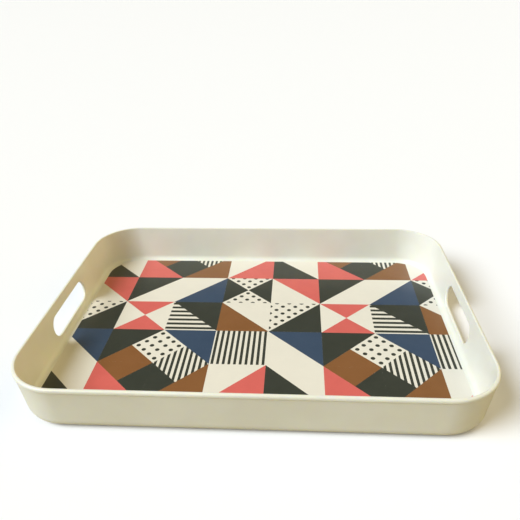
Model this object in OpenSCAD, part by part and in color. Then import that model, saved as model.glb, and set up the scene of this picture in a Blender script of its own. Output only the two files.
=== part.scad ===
// Serving tray: a one-piece moulded shell with a printed sheet fused into its floor.
// The origin is the centre of the base, +X runs along the tray and +Z is up, in millimetres.

/* [Tray] */
// Overall length, at the rim
tray_l = 460; // [400:5:520]
// Overall width, at the rim
tray_w = 345; // [300:5:390]
// Overall height, from the foot to the rim
tray_h = 52; // [46:1:60]
// Corner radius of the rim, seen from above
rim_r = 54; // [50:1:70]
// Lean of the walls away from upright, in degrees
draft = 7.5; // [6:0.1:9]
// Thickness of the walls
wall_t = 3.2; // [3:0.1:4]
// Thickness of the floor
floor_t = 3.5; // [3:0.1:4.5]
// Radius where the outside of the wall turns under
heel_r = 12; // [10:0.5:13]
// Radius where the inside of the wall meets the floor
cove_r = 6.2; // [4.5:0.1:7]

/* [Foot] */
// Height of the foot ring under the floor
foot_h = 3; // [2:0.1:4]
// Width of the flat that the tray stands on
foot_w = 4.5; // [3:0.5:8]

/* [Rim] */
// Radius along the outer edge of the rim
lip_r = 2.2; // [1.6:0.1:2.3]
// Radius along the inner edge of the rim
lip_inner_r = 0.9; // [0.6:0.1:1]
// Depth of the lip's upright outer face, from the top of the rim
lip_h = 3; // [2.4:0.1:4]
// Radius of the two curves that blend the lip into the wall
lip_blend_r = 2; // [2:0.1:3]
// How far the underside of the lip turns in, in degrees
lip_turn = 40; // [35:1:45]

/* [Hand holes] */
// Length of each hand hole
hole_l = 96; // [84:1:110]
// Height of each hand hole, measured along the wall
hole_h = 24.5; // [20:0.5:26]
// Height of the middle of each hand hole above the floor
hole_rise = 20.3; // [19:0.1:22]
// Radius along both edges of each hand hole
hole_edge_r = 1.2; // [0.8:0.1:1.4]

/* [Print] */
// Thickness of the printed sheet
sheet_t = 0.3; // [0.2:0.05:0.5]
// Depth of the ink in the sheet
ink_t = 0.1; // [0.05:0.05:0.15]
// Side of one square block of the print
block = 60.7; // [50:0.1:72]
// Left edge of the first whole column of blocks
print_x = -171; // [-200:1:-140]
// Back edge of the first whole row of blocks
print_y = 108.5; // [80:0.5:130]
// Bare gap left between neighbouring patches
patch_gap = 0.01; // [0.01:0.01:0.4]
// Bare border between the print and the wall
print_margin = 0.4; // [0.2:0.1:2]
// Number of stripes across one block
stripe_count = 10; // [8:1:12]
// Diameter of the dots
dot_d = 5; // [4:0.1:6]
// Number of dots in a row across one block
dots_across = 4; // [3:1:5]

/* [Hidden] */
$fn = 96;

melamine = "#ece6d3";
paper = "#ebe4d0";
charcoal = "#42443c";
coral = "#de6c62";
navy = "#46586c";
brown = "#8e5e36";

// The wall's section is drawn in (inset, height), where inset runs inwards from the lip's face.
lean = tan(draft);
skin = wall_t / cos(draft);
floor_z = foot_h + floor_t;
bed_z = floor_z - sheet_t;
blend_in = lip_blend_r * (1 + cos(draft) - 2 * cos(lip_turn));
blend_drop = lip_blend_r * (2 * sin(lip_turn) - sin(draft));
lip_proud = blend_in - (lip_h + blend_drop) * lean;
function wall_inset(z) = lip_proud + (tray_h - z) * lean;

heel = [wall_inset(heel_r) + heel_r / cos(draft), heel_r];
cove = [wall_inset(floor_z + cove_r) + skin + cove_r / cos(draft), floor_z + cove_r];
lip = [lip_r, tray_h - lip_r];
lip_inner = [wall_inset(tray_h - lip_inner_r) + skin - lip_inner_r / cos(draft), tray_h - lip_inner_r];
bead = [lip_blend_r, tray_h - lip_h];
groove = bead - 2 * lip_blend_r * [cos(lip_turn), sin(lip_turn)];
outward = [-cos(draft), -sin(draft)];
foot_in = heel[0] + foot_w;
slack = 1;
reach = heel[0] + heel_r + slack;

hole_z = floor_z + hole_rise;
hole_run = hole_l - hole_h;
hole_clear = 6;

half_block = block / 2;

// One repeat of the print, from the back row to the front row.
// Each block is a list of patches: [ink, fill, shape, quarter turns].
repeat = [
    [
        [["charcoal", "plain", "half", 3]],
        [["navy", "plain", "half", 1]],
        [
            ["charcoal", "plain", "quarter", 1],
            ["charcoal", "plain", "quarter", 3],
            ["charcoal", "dots", "quarter", 0],
            ["charcoal", "dots", "quarter", 2]
        ],
        [["coral", "plain", "half", 2]]
    ],
    [
        [["coral", "plain", "quarter", 0], ["coral", "plain", "quarter", 2]],
        [["charcoal", "plain", "half", 2], ["charcoal", "bars", "half", 0]],
        [["brown", "plain", "half", 0]],
        [["charcoal", "plain", "half", 1], ["charcoal", "dots", "half", 3]]
    ],
    [
        [
            ["charcoal", "plain", "half", 3],
            ["charcoal", "dots", "quarter", 1],
            ["brown", "plain", "quarter", 0]
        ],
        [
            ["navy", "plain", "half", 2],
            ["charcoal", "dots", "quarter", 3],
            ["charcoal", "stripes", "quarter", 0]
        ],
        [["charcoal", "stripes", "whole", 0]],
        [["navy", "plain", "half", 2]]
    ],
    [
        [
            ["coral", "plain", "half", 0],
            ["brown", "plain", "quarter", 2],
            ["charcoal", "plain", "quarter", 1]
        ],
        [
            ["brown", "plain", "half", 1],
            ["charcoal", "stripes", "quarter", 2],
            ["charcoal", "plain", "quarter", 3]
        ],
        [["coral", "plain", "half", 1]],
        [["charcoal", "plain", "half", 0]]
    ]
];

// Rounded rectangle that lies a given distance inside the rim.
module plan(inset) {
    half_l = tray_l / 2 - rim_r;
    half_w = tray_w / 2 - rim_r;
    square([tray_l - 2 * inset, 2 * half_w], center = true);
    square([2 * half_l, tray_w - 2 * inset], center = true);
    for (x = [-half_l, half_l], y = [-half_w, half_w]) {
        translate([x, y]) circle(rim_r - inset);
    }
}

// Everything inside the outer skin, before the hollow is taken out.
module section_outside() {
    polygon([
        [heel[0], 0],
        [reach, 0],
        [reach, tray_h],
        [lip[0], tray_h],
        [0, lip[1]],
        [0, bead[1]],
        bead - lip_blend_r * [cos(lip_turn), sin(lip_turn)],
        groove - lip_blend_r * outward,
        heel + heel_r * outward
    ]);
    translate(heel) circle(heel_r);
    translate(lip) circle(lip_r);
    translate(bead) circle(lip_blend_r);
}

// The bowl of the tray, down to the bed that the printed sheet lies on.
module section_hollow() {
    polygon([
        lip_inner - lip_inner_r * outward,
        [lip_inner[0], tray_h],
        [lip_inner[0], tray_h + slack],
        [reach + slack, tray_h + slack],
        [reach + slack, bed_z],
        [cove[0], bed_z],
        [cove[0], floor_z],
        cove + cove_r * outward
    ]);
    translate(cove) circle(cove_r);
}

// The shallow recess that leaves the foot ring standing.
module section_recess() {
    polygon([
        [foot_in, -slack],
        [reach + slack, -slack],
        [reach + slack, foot_h],
        [foot_in + foot_h / 2, foot_h],
        [foot_in, 0]
    ]);
}

// The wall, its lip and its foot, with the outer face on x = 0 and the tray towards -x.
module wall_section() {
    mirror([1, 0]) {
        difference() {
            section_outside();
            translate(groove) circle(lip_blend_r);
            section_hollow();
            section_recess();
        }
        translate(lip_inner) circle(lip_inner_r);
    }
}

module wall_run(half_span, run) {
    translate([half_span, 0, 0]) rotate([90, 0, 0]) linear_extrude(run, center = true) wall_section();
}

module wall_corner() {
    rotate_extrude(angle = 90) translate([rim_r, 0]) wall_section();
}

// Half the section of a hand hole, from its middle line, with both edges flared.
module hole_section() {
    translate([0, -hole_clear]) square([hole_h / 2, 2 * hole_clear]);
    for (face = [0, 1]) {
        mirror([0, face]) translate([hole_h / 2, wall_t / 2 - hole_edge_r]) difference() {
            translate([-slack, 0]) square([hole_edge_r + slack, hole_clear - wall_t / 2 + hole_edge_r]);
            translate([hole_edge_r, 0]) circle(hole_edge_r);
        }
    }
}

// Cutter for one hand hole, through the wall at +x and square to it.
module hand_hole() {
    translate([tray_l / 2 - wall_inset(hole_z) - skin / 2, 0, hole_z]) rotate([0, draft + 90, 0]) {
        for (end = [0, 1]) {
            rotate([0, 0, 180 * end]) translate([0, hole_run / 2, 0]) {
                rotate_extrude(angle = 180) hole_section();
            }
            mirror([end, 0, 0]) rotate([90, 0, 0]) linear_extrude(hole_run, center = true) hole_section();
        }
    }
}

module tray_body() {
    color(melamine) difference() {
        union() {
            for (side = [0, 1]) {
                rotate([0, 0, 180 * side]) {
                    wall_run(tray_l / 2, tray_w - 2 * rim_r);
                    rotate([0, 0, 90]) wall_run(tray_w / 2, tray_l - 2 * rim_r);
                    translate([tray_l / 2 - rim_r, tray_w / 2 - rim_r, 0]) wall_corner();
                    translate([rim_r - tray_l / 2, tray_w / 2 - rim_r, 0]) rotate([0, 0, 90]) wall_corner();
                }
            }
            translate([0, 0, foot_h]) linear_extrude(bed_z - foot_h) plan(reach);
        }
        for (side = [0, 1]) {
            rotate([0, 0, 180 * side]) hand_hole();
        }
    }
}

// One patch of a block, drawn about the block's middle and held back from its neighbours.
module patch_area(shape, turn) {
    edge = half_block - patch_gap / 2;
    tip = half_block - patch_gap / 2 * (1 + sqrt(2));
    rotate(90 * turn) {
        if (shape == "half") polygon([[-edge, -edge], [tip, -edge], [-edge, tip]]);
        if (shape == "quarter") polygon([[-tip, -edge], [tip, -edge], [0, -patch_gap / sqrt(2)]]);
        if (shape == "whole") square(2 * edge, center = true);
    }
}

// Staggered dots over a whole block, which carry on evenly into the next one.
module dots() {
    step = block / dots_across / 2;
    for (j = [-dots_across:dots_across], i = [-dots_across:dots_across]) {
        translate([(2 * i + (j + 1) % 2) * step, j * step]) circle(d = dot_d);
    }
}

// Upright stripes across a whole block.
module stripes(count) {
    pitch = block / count;
    for (i = [0:count - 1]) {
        translate([-half_block + (i + 0.25) * pitch, -half_block]) square([pitch / 2, block]);
    }
}

module patch(fill, shape, turn) {
    if (fill == "plain") patch_area(shape, turn);
    if (fill == "dots") intersection() {
        patch_area(shape, turn);
        dots();
    }
    if (fill == "stripes") intersection() {
        patch_area(shape, turn);
        stripes(stripe_count);
    }
    if (fill == "bars") intersection() {
        patch_area(shape, turn);
        rotate(90) stripes(stripe_count - 3);
    }
}

// Every patch of one ink over the whole floor.
module print_outline(ink) {
    intersection() {
        plan(cove[0] + print_margin);
        for (row = [-1:4], column = [-1:6]) {
            translate([print_x + (column + 0.5) * block, print_y - (row + 0.5) * block]) {
                for (p = repeat[(row + 4) % 4][(column + 4) % 4]) {
                    if (p[0] == ink) patch(p[1], p[2], p[3]);
                }
            }
        }
    }
}

module print_layer(ink) {
    translate([0, 0, floor_z - ink_t]) linear_extrude(ink_t) print_outline(ink);
}

module decor_sheet() {
    color(paper) translate([0, 0, bed_z]) {
        linear_extrude(sheet_t - ink_t) plan(cove[0]);
        translate([0, 0, sheet_t - ink_t]) linear_extrude(ink_t) difference() {
            plan(cove[0]);
            print_outline("charcoal");
            print_outline("coral");
            print_outline("navy");
            print_outline("brown");
        }
    }
}

module print_charcoal() {
    color(charcoal) print_layer("charcoal");
}

module print_coral() {
    color(coral) print_layer("coral");
}

module print_navy() {
    color(navy) print_layer("navy");
}

module print_brown() {
    color(brown) print_layer("brown");
}

tray_body();
decor_sheet();
print_charcoal();
print_coral();
print_navy();
print_brown();
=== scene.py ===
import math

import bmesh
import bpy
from mathutils import Matrix, Vector


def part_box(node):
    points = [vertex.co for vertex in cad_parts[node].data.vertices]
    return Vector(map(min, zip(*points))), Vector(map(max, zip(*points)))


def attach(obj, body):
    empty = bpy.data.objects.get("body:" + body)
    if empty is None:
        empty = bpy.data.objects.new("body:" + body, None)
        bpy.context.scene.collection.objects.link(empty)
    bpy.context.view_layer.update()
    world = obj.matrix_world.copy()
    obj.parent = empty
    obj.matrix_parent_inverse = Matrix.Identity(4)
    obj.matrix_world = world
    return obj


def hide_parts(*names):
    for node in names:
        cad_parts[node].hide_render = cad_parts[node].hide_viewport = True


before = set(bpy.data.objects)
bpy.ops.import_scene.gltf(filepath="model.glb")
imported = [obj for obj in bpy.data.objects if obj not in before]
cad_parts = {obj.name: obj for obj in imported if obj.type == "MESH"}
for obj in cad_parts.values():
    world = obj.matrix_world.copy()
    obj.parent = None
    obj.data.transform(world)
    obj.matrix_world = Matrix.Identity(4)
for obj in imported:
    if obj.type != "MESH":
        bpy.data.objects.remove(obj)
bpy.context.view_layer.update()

# ---------------------------------------------------------------- the tray, in metres, as the CAD has it

BODY_LOW, BODY_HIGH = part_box("tray_body")
SHEET_LOW, SHEET_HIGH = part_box("decor_sheet")
HALF_L = BODY_HIGH.x
HALF_W = BODY_HIGH.y
TRAY_H = BODY_HIGH.z
FLOOR_Z = SHEET_HIGH.z
BED_Z = SHEET_LOW.z
RIM_R = 0.054
DRAFT = math.radians(7.5)
WALL_T = 0.0032
HEEL_R = 0.012
COVE_R = 0.0062
FOOT_H = 0.003
FOOT_W = 0.0045
LIP_R = 0.0022
LIP_INNER_R = 0.0009
LIP_H = 0.003
LIP_BLEND_R = 0.002
LIP_TURN = math.radians(40)
HOLE_L = 0.096
HOLE_H = 0.0245
HOLE_RISE = 0.0203
HOLE_EDGE_R = 0.0012

LEAN = math.tan(DRAFT)
SKIN = WALL_T / math.cos(DRAFT)
BLEND_IN = LIP_BLEND_R * (1 + math.cos(DRAFT) - 2 * math.cos(LIP_TURN))
BLEND_DROP = LIP_BLEND_R * (2 * math.sin(LIP_TURN) - math.sin(DRAFT))
LIP_PROUD = BLEND_IN - (LIP_H + BLEND_DROP) * LEAN


def wall_inset(z):
    """Distance from the lip's face in to the outside of the wall, at height z."""
    return LIP_PROUD + (TRAY_H - z) * LEAN


HEEL = (wall_inset(HEEL_R) + HEEL_R / math.cos(DRAFT), HEEL_R)
COVE = (wall_inset(FLOOR_Z + COVE_R) + SKIN + COVE_R / math.cos(DRAFT), FLOOR_Z + COVE_R)
LIP = (LIP_R, TRAY_H - LIP_R)
LIP_INNER_Z = TRAY_H - LIP_INNER_R
LIP_INNER = (wall_inset(LIP_INNER_Z) + SKIN - LIP_INNER_R / math.cos(DRAFT), LIP_INNER_Z)
BEAD = (LIP_BLEND_R, TRAY_H - LIP_H)
GROOVE = (
    BEAD[0] - 2 * LIP_BLEND_R * math.cos(LIP_TURN),
    BEAD[1] - 2 * LIP_BLEND_R * math.sin(LIP_TURN),
)
FOOT_IN = HEEL[0] + FOOT_W
HOLE_Z = FLOOR_Z + HOLE_RISE
HOLE_RUN = HOLE_L - HOLE_H

# ---------------------------------------------------------------- helpers


def srgb(r, g, b):
    """A colour as seen on screen, 0 to 255, as the linear values that a shader takes."""

    def linear(v):
        v /= 255
        return v / 12.92 if v <= 0.04045 else ((v + 0.055) / 1.055) ** 2.4

    return (linear(r), linear(g), linear(b), 1.0)


def arc(centre, radius, start, end, steps):
    """Points on an arc, both ends included, with angles in radians."""
    return [
        (
            centre[0] + radius * math.cos(start + (end - start) * i / steps),
            centre[1] + radius * math.sin(start + (end - start) * i / steps),
        )
        for i in range(steps + 1)
    ]


# ---------------------------------------------------------------- camera

TARGET = Vector((-0.00966, 0.16155, FLOOR_Z))
CAMERA_YAW = 0.0746
CAMERA_RISE = 0.4903
CAMERA_ROLL = -0.0257
CAMERA_DISTANCE = 0.8038
CAMERA_LENS = 39.02
CAMERA_SENSOR = 36
CAMERA_NEAR = 0.01
CAMERA_FAR = 20


def add_camera():
    back = Vector(
        (
            math.sin(CAMERA_YAW) * math.cos(CAMERA_RISE),
            -math.cos(CAMERA_YAW) * math.cos(CAMERA_RISE),
            math.sin(CAMERA_RISE),
        )
    )
    right = Vector((0, 0, 1)).cross(back).normalized()
    up = back.cross(right)
    turned_right = right * math.cos(CAMERA_ROLL) + up * math.sin(CAMERA_ROLL)
    turned_up = up * math.cos(CAMERA_ROLL) - right * math.sin(CAMERA_ROLL)
    camera = bpy.data.objects.new("camera", bpy.data.cameras.new("camera"))
    camera.data.lens = CAMERA_LENS
    camera.data.sensor_width = CAMERA_SENSOR
    camera.data.clip_start = CAMERA_NEAR
    camera.data.clip_end = CAMERA_FAR
    turn = Matrix((turned_right, turned_up, back)).transposed()
    camera.matrix_world = Matrix.Translation(TARGET + back * CAMERA_DISTANCE) @ turn.to_4x4()
    bpy.context.scene.collection.objects.link(camera)
    bpy.context.scene.camera = camera


add_camera()

# ---------------------------------------------------------------- the shell's mesh

# How many steps each round stretch of the section takes, and each flat wall face.
HEEL_STEPS = 12
COVE_STEPS = 10
LIP_STEPS = 8
LIP_INNER_STEPS = 6
BEAD_STEPS = 6
GROOVE_STEPS = 5
HOLE_EDGE_STEPS = 8
WALL_ROWS = 14
PANEL_LOW = 0.0122
PANEL_HIGH = 0.0414


def wall_rows(skin):
    """Evenly spaced rows up the flat part of the wall, on the face that lies skin inside the outer one."""
    heights = [PANEL_LOW + (PANEL_HIGH - PANEL_LOW) * i / WALL_ROWS for i in range(WALL_ROWS + 1)]
    return [(wall_inset(z) + skin, z) for z in heights]


def section():
    """The section's rows, as (inset, height), going once round: foot, heel, outer wall, lip, inner wall, floor.
    Also the first row of the outer and of the inner face that holds a hand hole."""
    out = math.pi + DRAFT
    rows = [(FOOT_IN + FOOT_H / 2, FOOT_H), (FOOT_IN, 0.0)]
    rows += arc(HEEL, HEEL_R, 1.5 * math.pi, out, HEEL_STEPS)
    outer_start = len(rows)
    rows += wall_rows(0.0)
    rows += arc(GROOVE, LIP_BLEND_R, DRAFT, LIP_TURN, GROOVE_STEPS)
    rows += arc(BEAD, LIP_BLEND_R, math.pi + LIP_TURN, math.pi, BEAD_STEPS)[1:]
    rows += arc(LIP, LIP_R, math.pi, 0.5 * math.pi, LIP_STEPS)
    rows += arc(LIP_INNER, LIP_INNER_R, 0.5 * math.pi, DRAFT, LIP_INNER_STEPS)
    inner_start = len(rows)
    rows += wall_rows(SKIN)[::-1]
    rows += arc(COVE, COVE_R, out, 1.5 * math.pi, COVE_STEPS)
    rows += [(COVE[0], BED_Z)]
    return rows, outer_start, inner_start


CORNER_STEPS = 32
SIDE_COLUMNS = 6
HOLE_COLUMNS = 12
HOLE_END_COLUMNS = 3
HOLE_PANEL_END = 0.0555
HOLE_LAND = 0.0004


def path():
    """Columns round the tray as (point on the corner's centre line, outward direction), anticlockwise from
    the middle of the right wall, and the first column of each hand hole's panel."""
    cx, cy = HALF_L - RIM_R, HALF_W - RIM_R
    half_run = HOLE_RUN / 2
    end_run = HOLE_PANEL_END - half_run
    ys = [-cy]
    ys += [-HOLE_PANEL_END + end_run * i / HOLE_END_COLUMNS for i in range(HOLE_END_COLUMNS)]
    ys += [-half_run + HOLE_RUN * i / HOLE_COLUMNS for i in range(HOLE_COLUMNS)]
    ys += [half_run + end_run * i / HOLE_END_COLUMNS for i in range(HOLE_END_COLUMNS + 1)]
    xs = [cx - 2 * cx * i / SIDE_COLUMNS for i in range(SIDE_COLUMNS)]
    half = [((cx, y), (1.0, 0.0)) for y in ys]
    half += [
        ((cx, cy), (math.cos(a), math.sin(a)))
        for a in [0.5 * math.pi * i / CORNER_STEPS for i in range(CORNER_STEPS)]
    ]
    half += [((x, cy), (0.0, 1.0)) for x in xs]
    half += [
        ((-cx, cy), (math.cos(a), math.sin(a)))
        for a in [0.5 * math.pi * (1 + i / CORNER_STEPS) for i in range(CORNER_STEPS)]
    ]
    other = [((-p[0], -p[1]), (-d[0], -d[1])) for p, d in half]
    return half + other, (1, len(half) + 1)


def column_point(column, row):
    """Where a row of the section lies on one column of the path."""
    (px, py), (dx, dy) = column
    inset, z = row
    return Vector((px + dx * (RIM_R - inset), py + dy * (RIM_R - inset), z))


def hole_ring(across, out, steps_end, steps_run):
    """Points round a hand hole, anticlockwise seen from outside the right wall, starting at its lower left.
    across is half its height there, and out is how far the ring lies outside the wall's middle face."""
    ys_zs = []
    for i in range(steps_run):
        ys_zs.append((-HOLE_RUN / 2 + HOLE_RUN * i / steps_run, -across))
    for i in range(steps_end):
        a = -0.5 * math.pi + math.pi * i / steps_end
        ys_zs.append((HOLE_RUN / 2 + across * math.cos(a), across * math.sin(a)))
    for i in range(steps_run):
        ys_zs.append((HOLE_RUN / 2 - HOLE_RUN * i / steps_run, across))
    for i in range(steps_end):
        a = 0.5 * math.pi + math.pi * i / steps_end
        ys_zs.append((-HOLE_RUN / 2 + across * math.cos(a), across * math.sin(a)))
    middle = HALF_L - wall_inset(HOLE_Z) - SKIN / 2
    return [
        Vector(
            (
                middle + s * math.sin(DRAFT) + out * math.cos(DRAFT),
                y,
                HOLE_Z + s * math.cos(DRAFT) - out * math.sin(DRAFT),
            )
        )
        for y, s in ys_zs
    ]


def hole_rings():
    """The rings of one hand hole from the outer face through to the inner one, with both edges rounded."""
    steps_end = WALL_ROWS + 2 * HOLE_END_COLUMNS
    half_t = WALL_T / 2
    lane = [(HOLE_H / 2 + HOLE_EDGE_R + HOLE_LAND, half_t)]
    lane += [
        (HOLE_H / 2 + HOLE_EDGE_R - r, half_t - HOLE_EDGE_R + o)
        for r, o in arc((0.0, 0.0), HOLE_EDGE_R, 0.5 * math.pi, 0.0, HOLE_EDGE_STEPS)
    ]
    lane += [(across, -out) for across, out in lane[::-1]]
    return [hole_ring(across, out, steps_end, HOLE_COLUMNS) for across, out in lane]


def add_mesh(name, vertices, faces):
    mesh = bpy.data.meshes.new(name)
    mesh.from_pydata([tuple(v) for v in vertices], [], faces)
    mesh.validate()
    piece = bpy.data.objects.new(name, mesh)
    bpy.context.scene.collection.objects.link(piece)
    return piece


def make_shell():
    """The whole moulding as one closed mesh of quads: the section swept round the path, the two faces of
    the floor, and the hand holes joined into gaps left in the short walls."""
    rows, outer_start, inner_start = section()
    columns, hole_starts = path()
    n_rows, n_columns = len(rows), len(columns)
    vertices = [column_point(c, r) for c in columns for r in rows]
    faces = []
    panel_columns = HOLE_COLUMNS + 2 * HOLE_END_COLUMNS

    def at(column, row):
        return (column % n_columns) * n_rows + row

    def in_panel(column, row):
        rows_hit = any(start <= row < start + WALL_ROWS for start in (outer_start, inner_start))
        return rows_hit and any(start <= column < start + panel_columns for start in hole_starts)

    for c in range(n_columns):
        for r in range(n_rows - 1):
            if not in_panel(c, r):
                faces.append((at(c, r), at(c + 1, r), at(c + 1, r + 1), at(c, r + 1)))
    faces.append([at(c, 0) for c in range(n_columns)][::-1])
    faces.append([at(c, n_rows - 1) for c in range(n_columns)])

    for side, start in zip((1, -1), hole_starts):
        last = start + panel_columns
        rings = hole_rings()
        first = []
        for ring in rings:
            first.append(len(vertices))
            vertices += [Vector((side * p.x, side * p.y, p.z)) for p in ring]
        n_ring = len(rings[0])
        for a, b in zip(first, first[1:]):
            for i in range(n_ring):
                j = (i + 1) % n_ring
                faces.append((a + i, b + i, b + j, a + j))

        def edge_loop(low_row, up):
            """The gap's edge, in step with the ring, from the foot of the straight run."""
            high_row = low_row + WALL_ROWS * up
            loop = [at(c, low_row) for c in range(start + HOLE_END_COLUMNS, last)]
            loop += [at(last, low_row + up * r) for r in range(WALL_ROWS)]
            loop += [at(c, high_row) for c in range(last, start, -1)]
            loop += [at(start, high_row - up * r) for r in range(WALL_ROWS)]
            loop += [at(c, low_row) for c in range(start, start + HOLE_END_COLUMNS)]
            return loop

        outer = edge_loop(outer_start, 1)
        inner = edge_loop(inner_start + WALL_ROWS, -1)
        for i in range(n_ring):
            j = (i + 1) % n_ring
            faces.append((outer[i], first[0] + i, first[0] + j, outer[j]))
            faces.append((first[-1] + i, inner[i], inner[j], first[-1] + j))
    shell = add_mesh("tray_shell", vertices, faces)
    outward = bmesh.new()
    outward.from_mesh(shell.data)
    bmesh.ops.recalc_face_normals(outward, faces=outward.faces)
    outward.to_mesh(shell.data)
    outward.free()
    for face in shell.data.polygons:
        face.use_smooth = True
    return shell


shell = make_shell()
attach(shell, "root")
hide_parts("tray_body")

# ---------------------------------------------------------------- materials

IVORY = srgb(235, 234, 219)
IVORY_SHADE = srgb(231, 229, 212)
SCUFF = srgb(196, 190, 176)
PAPER = srgb(234, 228, 211)
INKS = {
    "print_charcoal": srgb(54, 57, 48),
    "print_coral": srgb(209, 100, 91),
    "print_navy": srgb(56, 73, 94),
    "print_brown": srgb(131, 87, 48),
}
PAPER_DENSITY = -0.06
INK_DENSITY = 0.12
WORN_LIFT = 0.006

# Feature sizes of the noises, in metres.
CLOUD_SIZE = 0.05
SHELL_SHEEN_SIZE = 0.06
RUB_SIZE = 0.007
PRINT_SHEEN_SIZE = 0.05
DENSITY_SIZE = 0.018
GRAIN_SIZE = 0.0006
PEEL_SIZE = 0.004
FINE_SIZE = 0.0015
SCRATCH_SIZE = 0.045
SCRATCH_STRETCH = 16

# The stretch of a noise's 0 to 1 that a band takes: the narrower it is, the harder the edges between patches.
SOFT = (0.25, 0.75)
MEDIUM = (0.3, 0.7)
HARD = (0.35, 0.65)

# Depths of the relief, and heights of the rubbed stretches, in metres.
PEEL_DEPTH = 0.00002
FINE_DEPTH = 0.000006
SCRATCH_DEPTH = 0.000004
LIP_RUB_H = 0.0009
FOOT_RUB_H = 0.0005

# Roughness: its range on each finish, and what wear adds to it.
SHELL_GLOSS = (0.33, 0.37)
PRINT_GLOSS = (0.3, 0.36)
LIP_RUB_DULLS = 0.1
FOOT_RUB_DULLS = 0.3
SCRATCH_DULLS = 0.14

FOOT_RUB_SHARE = (0.2, 0.7)
FOOT_RUB_TINT = 0.8
GLOW_SHARE = 0.3
GLOW_DEPTH = 0.0016
GLOW_REACH = (1.0, 0.8, 0.2)


class Nodes:
    """A material's nodes. Every texture reads the same object coordinates, which are the CAD's, in metres."""

    def __init__(self, name):
        self.material = bpy.data.materials.new(name)
        self.material.use_nodes = True
        self.tree = self.material.node_tree
        self.shader = self.tree.nodes["Principled BSDF"]
        self.place = self.add("ShaderNodeTexCoord").outputs["Object"]

    def add(self, kind, **settings):
        node = self.tree.nodes.new(kind)
        for key, value in settings.items():
            setattr(node, key, value)
        return node

    def put(self, socket, value):
        """Joins a socket to another node's output, or sets it to a plain value."""
        if isinstance(value, bpy.types.NodeSocket):
            self.tree.links.new(value, socket)
        else:
            socket.default_value = value

    def noise(self, size, detail=2.0, place=None):
        """Noise from 0 to 1 whose features are about as wide as size, in metres."""
        node = self.add("ShaderNodeTexNoise")
        self.put(node.inputs["Vector"], place or self.place)
        node.inputs["Scale"].default_value = 1 / size
        node.inputs["Detail"].default_value = detail
        return node.outputs["Fac"]

    def band(self, value, low, high, to_low=0.0, to_high=1.0):
        """A value's stretch from low to high, as a smooth ramp from to_low to to_high."""
        node = self.add("ShaderNodeMapRange", interpolation_type="SMOOTHSTEP")
        for key, setting in (("Value", value), ("From Min", low), ("From Max", high)):
            self.put(node.inputs[key], setting)
        self.put(node.inputs["To Min"], to_low)
        self.put(node.inputs["To Max"], to_high)
        return node.outputs["Result"]

    def sum(self, *values):
        total = values[0]
        for value in values[1:]:
            total = self.maths("ADD", total, value)
        return total

    def maths(self, operation, a, b):
        node = self.add("ShaderNodeMath", operation=operation)
        self.put(node.inputs[0], a)
        self.put(node.inputs[1], b)
        return node.outputs[0]

    def blend(self, amount, a, b):
        """One colour turning into another as the amount goes from 0 to 1."""
        node = self.add("ShaderNodeMix", data_type="RGBA")
        self.put(node.inputs["Factor"], amount)
        self.put(node.inputs[6], a)
        self.put(node.inputs[7], b)
        return node.outputs[2]

    def height(self):
        node = self.add("ShaderNodeSeparateXYZ")
        self.put(node.inputs[0], self.place)
        return node.outputs["Z"]

    def scratches(self, turn, width):
        """Fine straight scratches, as lines where a long thin noise crosses its middle value."""
        stretch = self.add("ShaderNodeMapping")
        self.put(stretch.inputs["Vector"], self.place)
        stretch.inputs["Rotation"].default_value = (0, 0, turn)
        stretch.inputs["Scale"].default_value = (1, SCRATCH_STRETCH, 1)
        lines = self.noise(SCRATCH_SIZE, 3.0, stretch.outputs["Vector"])
        off_line = self.maths("ABSOLUTE", self.maths("SUBTRACT", lines, 0.5), 0.0)
        return self.band(off_line, 0.0, width, 1.0, 0.0)

    def bump(self, value, depth, under=None):
        """A surface that rises by depth, in metres, where the value is 1."""
        node = self.add("ShaderNodeBump")
        node.inputs["Strength"].default_value = 1.0
        node.inputs["Distance"].default_value = depth
        self.put(node.inputs["Height"], value)
        if under is not None:
            self.put(node.inputs["Normal"], under)
        return node.outputs["Normal"]


def melamine():
    """Glossy ivory moulding compound: faintly clouded, orange-peeled, rubbed on the lip and the foot."""
    n = Nodes("melamine")
    z = n.height()
    cloud = n.band(n.noise(CLOUD_SIZE, 3.0), *MEDIUM)
    patchy = n.band(n.noise(RUB_SIZE, 5.0), *HARD)
    on_lip = n.band(z, TRAY_H - LIP_RUB_H, TRAY_H)
    on_foot = n.band(z, 0.0, FOOT_RUB_H, 1.0, 0.0)
    lip_rub = n.maths("MULTIPLY", on_lip, patchy)
    foot_rub = n.maths("MULTIPLY", on_foot, n.band(patchy, 0.0, 1.0, *FOOT_RUB_SHARE))
    colour = n.blend(cloud, IVORY, IVORY_SHADE)
    colour = n.blend(n.maths("MULTIPLY", foot_rub, FOOT_RUB_TINT), colour, SCUFF)
    n.put(n.shader.inputs["Base Color"], colour)
    gloss = n.sum(
        n.band(n.noise(SHELL_SHEEN_SIZE, 2.0), *SOFT, *SHELL_GLOSS),
        n.maths("MULTIPLY", lip_rub, LIP_RUB_DULLS),
        n.maths("MULTIPLY", foot_rub, FOOT_RUB_DULLS),
    )
    n.put(n.shader.inputs["Roughness"], gloss)
    peel = n.bump(n.noise(PEEL_SIZE, 1.0), PEEL_DEPTH)
    n.put(n.shader.inputs["Normal"], n.bump(n.noise(FINE_SIZE, 2.0), FINE_DEPTH, peel))
    n.shader.inputs["Subsurface Weight"].default_value = GLOW_SHARE
    n.shader.inputs["Subsurface Radius"].default_value = GLOW_REACH
    n.shader.inputs["Subsurface Scale"].default_value = GLOW_DEPTH
    return n.material


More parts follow.
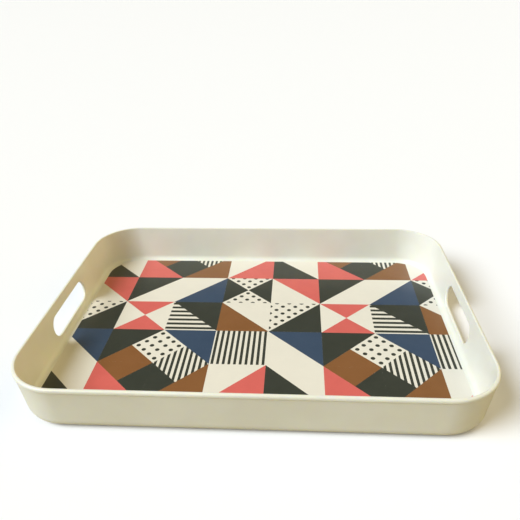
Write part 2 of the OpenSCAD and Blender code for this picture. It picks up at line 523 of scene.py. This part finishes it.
def glazed_print(name, ink, shift):
    """An ink or the bare paper under the clear glaze that is moulded over it. Where it printed unevenly its
    colour shifts by that share."""
    n = Nodes(name)
    density = n.sum(
        n.band(n.noise(DENSITY_SIZE, 3.0), *MEDIUM, 0.0, 0.4),
        n.band(n.noise(GRAIN_SIZE, 2.0), *MEDIUM, 0.0, 0.6),
    )
    worn = tuple(c * (1 + shift) + WORN_LIFT for c in ink[:3]) + (1.0,)
    colour = n.blend(density, ink, worn)
    scratches = n.maths("MAXIMUM", n.scratches(0.35, 0.005), n.scratches(-1.1, 0.004))
    n.put(n.shader.inputs["Base Color"], colour)
    gloss = n.sum(
        n.band(n.noise(PRINT_SHEEN_SIZE, 2.0), *SOFT, *PRINT_GLOSS),
        n.maths("MULTIPLY", scratches, SCRATCH_DULLS),
    )
    n.put(n.shader.inputs["Roughness"], gloss)
    peel = n.bump(n.noise(PEEL_SIZE, 1.0), PEEL_DEPTH)
    n.put(n.shader.inputs["Normal"], n.bump(scratches, -SCRATCH_DEPTH, peel))
    return n.material


shell.data.materials.append(melamine())
for node, ink in {"decor_sheet": PAPER, **INKS}.items():
    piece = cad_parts[node]
    piece.data.materials.clear()
    piece.data.materials.append(glazed_print(node, ink, PAPER_DENSITY if node == "decor_sheet" else INK_DENSITY))

# ---------------------------------------------------------------- floor, light

KEY_FROM = Vector((-0.646, -0.343, 0.682))
KEY_WIDTH = math.radians(35)
KEY_STRENGTH = 4.0
KEY_COLOUR = (0.85, 0.915, 1.0)
FILL_FROM = Vector((0.85, 0.2, 0.55))
FILL_WIDTH = math.radians(80)
FILL_STRENGTH = 1.55
FILL_COLOUR = (1.0, 0.82, 0.43)
SKY_STRENGTH = 0.08
SKY_COLOUR = (1.0, 0.94, 0.8)
FLOOR_SIZE = 80
FLOOR_LOOK = srgb(238, 238, 238)
FLOOR_LIFT = 0.08
FLOOR_ROUGHNESS = 0.9
FLOOR_LIGHT = srgb(198, 187, 160)
WHITE = (1, 1, 1, 1)


def seen_or_lit_by(tree, seen, lit_by, mix, output):
    """What the eye sees directly comes from one shader, and the light that falls on the tray from another."""
    ray = tree.nodes.new("ShaderNodeLightPath")
    tree.links.new(ray.outputs["Is Camera Ray"], mix.inputs[0])
    tree.links.new(lit_by, mix.inputs[1])
    tree.links.new(seen, mix.inputs[2])
    tree.links.new(mix.outputs[0], output)


def add_floor():
    """A plain pale floor that reaches the horizon. It looks brighter than the light that it throws back."""
    bpy.ops.mesh.primitive_plane_add(size=FLOOR_SIZE, location=(0, 0, 0))
    floor = bpy.context.object
    floor.name = "stage_floor"
    n = Nodes("stage_floor")
    n.shader.inputs["Base Color"].default_value = FLOOR_LOOK
    n.shader.inputs["Roughness"].default_value = FLOOR_ROUGHNESS
    n.shader.inputs["Emission Color"].default_value = WHITE
    n.shader.inputs["Emission Strength"].default_value = FLOOR_LIFT
    dim = n.add("ShaderNodeBsdfDiffuse")
    dim.inputs["Color"].default_value = FLOOR_LIGHT
    output = n.tree.nodes["Material Output"].inputs["Surface"]
    seen_or_lit_by(n.tree, n.shader.outputs[0], dim.outputs[0], n.add("ShaderNodeMixShader"), output)
    floor.data.materials.append(n.material)


def add_sun(name, comes_from, width, strength, colour):
    """A soft light from far off; its width is the angle that it fills, as a window does."""
    light = bpy.data.objects.new(name, bpy.data.lights.new(name, "SUN"))
    light.data.angle = width
    light.data.energy = strength
    light.data.color = colour
    light.rotation_mode = "QUATERNION"
    light.rotation_quaternion = comes_from.to_track_quat("Z", "Y")
    bpy.context.scene.collection.objects.link(light)


def add_sky():
    """A faint warm sky for light, which looks pale where it shows above the floor."""
    world = bpy.data.worlds.new("world")
    bpy.context.scene.world = world
    world.use_nodes = True
    nodes = world.node_tree.nodes
    faint = nodes["Background"]
    faint.inputs["Color"].default_value = (*SKY_COLOUR, 1)
    faint.inputs["Strength"].default_value = SKY_STRENGTH
    pale = nodes.new("ShaderNodeBackground")
    pale.inputs["Color"].default_value = WHITE
    output = nodes["World Output"].inputs["Surface"]
    mix = nodes.new("ShaderNodeMixShader")
    seen_or_lit_by(world.node_tree, pale.outputs[0], faint.outputs[0], mix, output)


add_floor()
add_sun("key", KEY_FROM, KEY_WIDTH, KEY_STRENGTH, KEY_COLOUR)
add_sun("fill", FILL_FROM, FILL_WIDTH, FILL_STRENGTH, FILL_COLOUR)
add_sky()
bpy.context.scene.view_settings.view_transform = "Standard"
